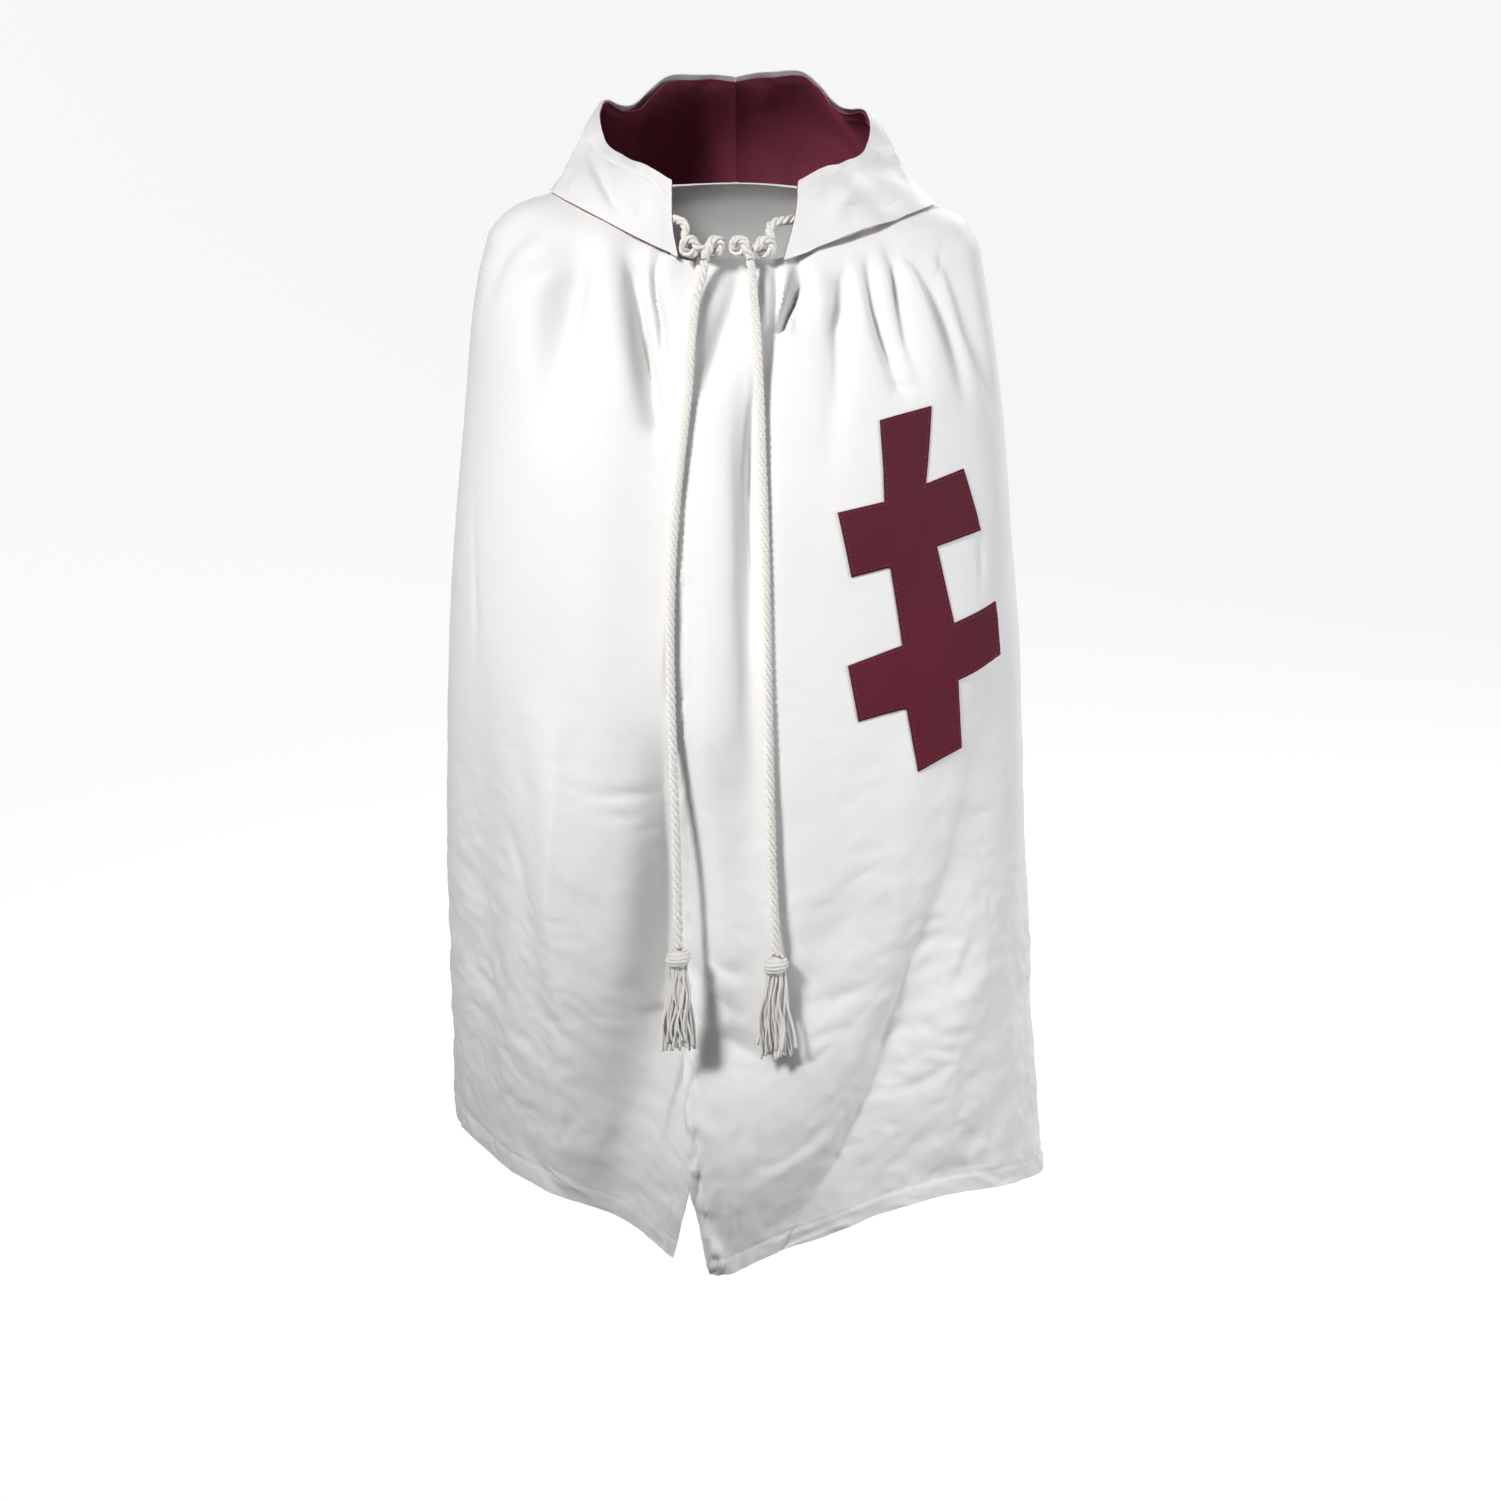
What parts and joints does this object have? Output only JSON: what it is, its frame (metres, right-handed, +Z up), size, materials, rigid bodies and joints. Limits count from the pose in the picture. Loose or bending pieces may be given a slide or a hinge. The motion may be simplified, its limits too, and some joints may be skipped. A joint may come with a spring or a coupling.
{
  "type": "templar mantle",
  "caption": "Knee-length white hooded mantle in its worn form: draped fronts and back, thrown-back hood with maroon lining, rope tie ending in tassels, and a maroon barred cross.",
  "frame": {"origin": "middle of the wearer's neck at the shoulder line, where the wearer holds the mantle up", "axes": "+Z up along the wearer's neck, -Y the way the wearer faces, +X to the wearer's left"},
  "size_m": [0.6125, 0.5064, 1.1483],
  "materials": {
    "white_cloth": "plain-woven white cotton and polyester cloth with a faint sheen",
    "maroon_lining": "maroon satin-faced lining",
    "maroon_applique": "dull maroon cotton applique, edges turned under",
    "white_rope": "white three-strand twisted cord"
  },
  "bodies": {
    "root": {"front_right": "white_cloth", "front_left": "white_cloth", "back_right": "white_cloth", "back_left": "white_cloth", "hood_right": "white_cloth", "hood_left": "white_cloth", "hood_lining_right": "maroon_lining", "hood_lining_left": "maroon_lining", "cross": "maroon_applique", "tie_knot_right": "white_rope", "tie_knot_left": "white_rope", "rope_right": "white_rope", "rope_left": "white_rope", "tassel_right": "white_rope", "tassel_left": "white_rope"}
  },
  "joints": []
}
